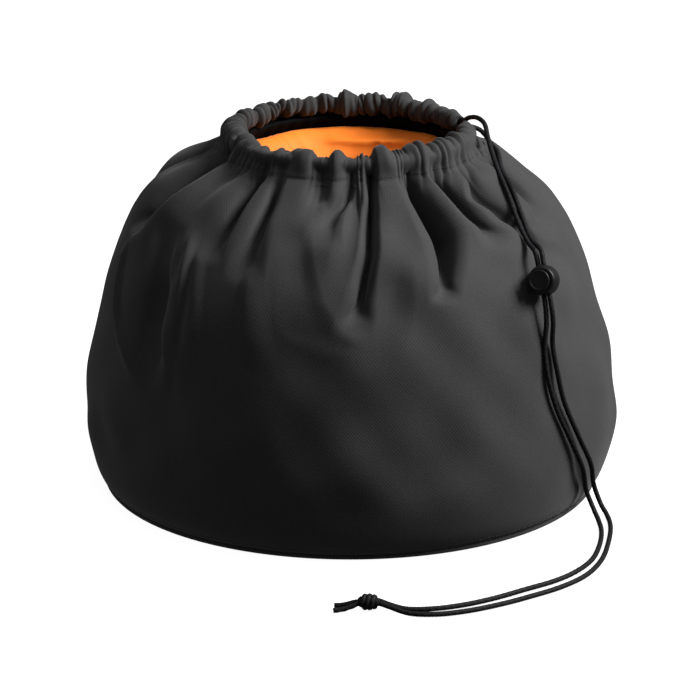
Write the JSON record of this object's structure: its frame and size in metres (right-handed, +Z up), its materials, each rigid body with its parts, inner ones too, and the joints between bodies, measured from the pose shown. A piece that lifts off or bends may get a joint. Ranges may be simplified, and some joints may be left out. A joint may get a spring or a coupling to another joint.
{
  "type": "round drawstring ball bag",
  "caption": "Round drawstring ball bag with a flat base, gathered mouth, orange lining, ruffled casing, cord and spring cord lock.",
  "frame": {"origin": "on the surface that the bag stands on, under the middle of its round base", "axes": "+Z up out of the mouth; the front faces -Y; the cord comes out at +X"},
  "size_m": [0.4001, 0.4904, 0.2773],
  "materials": {
    "black_cloth": "charcoal black twill polyester with a soft sheen",
    "orange_lining": "smooth orange lining cloth",
    "black_cord": "braided black polyester cord",
    "black_plastic": "moulded black plastic, fine satin"
  },
  "bodies": {
    "bag": {"wall_front": "black_cloth", "wall_back": "black_cloth", "base_panel": "black_cloth", "base_welt": "black_cloth", "drawcord_casing": "black_cloth", "mouth_facing": "black_cloth", "lining_floor": "orange_lining", "lining_side_lower": "orange_lining", "lining_side_upper": "orange_lining", "lining_collar": "orange_lining", "drawcord_ring": "black_cord", "drawcord_left": "black_cord", "drawcord_right": "black_cord", "cord_lock_body": "black_plastic", "cord_knot": "black_cord"},
    "button": {"cord_lock_button": "black_plastic"}
  },
  "joints": [
    {"name": "lock_button_press", "type": "slide", "parent": "bag", "child": "button", "axis": [-0.3195, -0.9085, 0.2695], "range_m": [-0.0026, 0], "stiffness_N_per_m": 1200}
  ]
}
